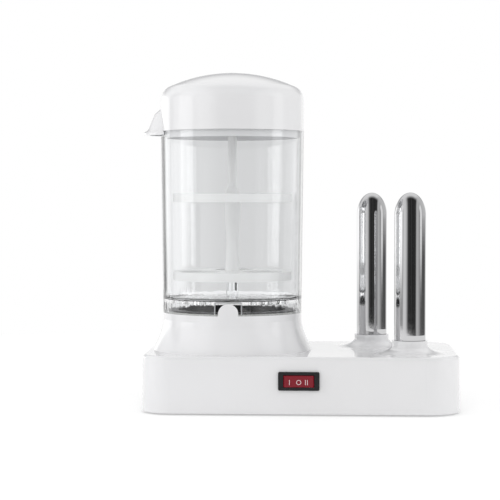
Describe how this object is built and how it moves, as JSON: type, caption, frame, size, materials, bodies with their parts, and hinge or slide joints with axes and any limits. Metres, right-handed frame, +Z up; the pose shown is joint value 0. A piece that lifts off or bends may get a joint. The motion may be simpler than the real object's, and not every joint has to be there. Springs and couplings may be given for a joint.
{
  "type": "hot dog maker",
  "caption": "Counter-top hot dog maker: clear steam jar with egg trays and domed lid on a heated tower, and heated bun spikes on a low white base with a rocker switch.",
  "frame": {"origin": "on the table under the middle of the overall box", "axes": "+Z up, -Y towards the front with the switch, +X towards the bun spikes"},
  "size_m": [0.2566, 0.1501, 0.2716],
  "materials": {
    "white_shell": "glossy moulded",
    "white_satin": "satin moulded",
    "clear_plastic": "clear polished",
    "polished_steel": "polished stainless",
    "dark_coating": "non-stick coating",
    "black_plastic": "fine grain",
    "red_plastic": "glossy moulded",
    "foot_rubber": "matt",
    "silicone": "matt",
    "zinc_steel": "zinc plated",
    "element_metal": "cast and heat toned",
    "heater_ceramic": "unglazed",
    "brass_contacts": "plain",
    "block_plastic": "plain",
    "feed_insulation": "plain",
    "return_insulation": "plain"
  },
  "bodies": {
    "base": {"base_housing": "white_shell", "bottom_cover": "white_satin", "rubber_feet": "foot_rubber", "cover_screws": "zinc_steel", "boiler_pan": "dark_coating", "pan_gasket": "silicone", "heating_ring": "element_metal", "pan_bracket": "zinc_steel", "bracket_screws": "zinc_steel", "thermostat": "black_plastic", "thermal_fuse": "zinc_steel", "rear_spike": "polished_steel", "front_spike": "polished_steel", "rear_spike_heater": "heater_ceramic", "front_spike_heater": "heater_ceramic", "rear_spike_bush": "heater_ceramic", "front_spike_bush": "heater_ceramic", "spike_flanges": "zinc_steel", "spike_plate": "zinc_steel", "spike_plate_screws": "zinc_steel", "switch_body": "black_plastic", "switch_terminals": "brass_contacts", "cord_gland": "black_plastic", "terminal_block": "block_plastic", "block_screws": "zinc_steel", "live_lead": "feed_insulation", "pan_feed_lead": "feed_insulation", "thermostat_lead": "feed_insulation", "fuse_lead": "return_insulation", "pan_return_lead": "return_insulation", "rear_feed_lead": "feed_insulation", "front_feed_lead": "feed_insulation", "rear_return_lead": "return_insulation", "front_return_lead": "return_insulation"},
    "rocker": {"switch_rocker": "red_plastic"},
    "jar": {"jar": "clear_plastic"},
    "lid": {"lid": "white_shell"},
    "lower_tray": {"lower_egg_tray": "white_satin"},
    "upper_tray": {"upper_egg_tray": "white_satin"}
  },
  "joints": [
    {"name": "rocker_tilt", "type": "hinge", "parent": "base", "child": "rocker", "pos_m": [0.0013, -0.06884, 0.0273], "axis": [0, 0, 1], "range_deg": [-10, 10]},
    {"name": "jar_lift", "type": "slide", "parent": "base", "child": "jar", "axis": [0, 0, 1], "range_m": [0, 0.12]},
    {"name": "lid_lift", "type": "slide", "parent": "jar", "child": "lid", "axis": [0, 0, 1], "range_m": [0, 0.25]},
    {"name": "upper_tray_lift", "type": "slide", "parent": "jar", "child": "upper_tray", "axis": [0, 0, 1], "range_m": [0, 0.19]},
    {"name": "lower_tray_lift", "type": "slide", "parent": "jar", "child": "lower_tray", "axis": [0, 0, 1], "range_m": [0, 0.13]}
  ],
  "couplings": [
    {"joint": "upper_tray_lift", "follows": "lid_lift", "ratio": 0.76},
    {"joint": "lower_tray_lift", "follows": "lid_lift", "ratio": 0.52}
  ]
}
